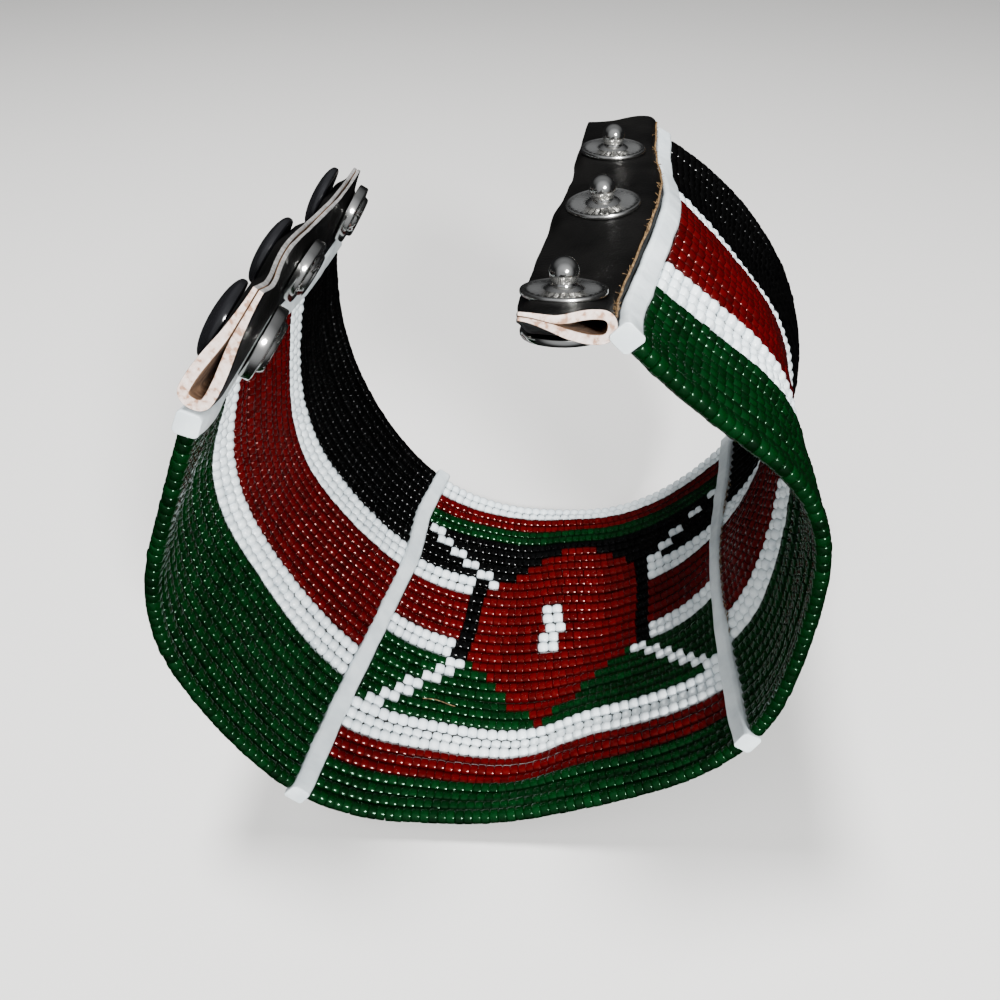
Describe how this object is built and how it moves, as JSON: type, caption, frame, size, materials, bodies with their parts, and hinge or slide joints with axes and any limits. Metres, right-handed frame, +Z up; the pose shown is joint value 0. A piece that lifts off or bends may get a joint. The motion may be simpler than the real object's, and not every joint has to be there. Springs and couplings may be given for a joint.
{
  "type": "beaded bracelet",
  "caption": "Wide open cuff of flat beadwork held by four strips, with folded leather end tabs that close by three snaps.",
  "frame": {"origin": "middle of the footprint on the surface that the open cuff lies on", "axes": "+Z up; +Y along the width of the cuff, away from the green edge; +X from the socket tab towards the stud side"},
  "size_m": [0.0958, 0.0818, 0.0858],
  "materials": {
    "red_beads": "small glossy glass beads, dark red",
    "green_beads": "small glossy glass beads, dark green",
    "black_beads": "small glossy opaque beads, black",
    "white_beads": "small glossy opaque beads, white",
    "white_plastic": "smooth white plastic strip, cut square",
    "leather": "black grained face with pale raw edges",
    "cap_enamel": "glossy black enamel",
    "snap_metal": "bright nickel plate",
    "thread": "pale tan waxed thread, frayed"
  },
  "bodies": {
    "root": {"left_panel": "red_beads", "centre_panel": "green_beads", "right_panel": "red_beads", "left_end_strip": "white_plastic", "left_spacer": "white_plastic", "right_spacer": "white_plastic", "right_end_strip": "white_plastic", "socket_tab": "leather", "stud_tab": "leather", "cap_near": "cap_enamel", "cap_mid": "cap_enamel", "cap_far": "cap_enamel", "socket_near": "snap_metal", "socket_mid": "snap_metal", "socket_far": "snap_metal", "stud_near": "snap_metal", "stud_mid": "snap_metal", "stud_far": "snap_metal", "stud_back_near": "snap_metal", "stud_back_mid": "snap_metal", "stud_back_far": "snap_metal"}
  },
  "joints": []
}
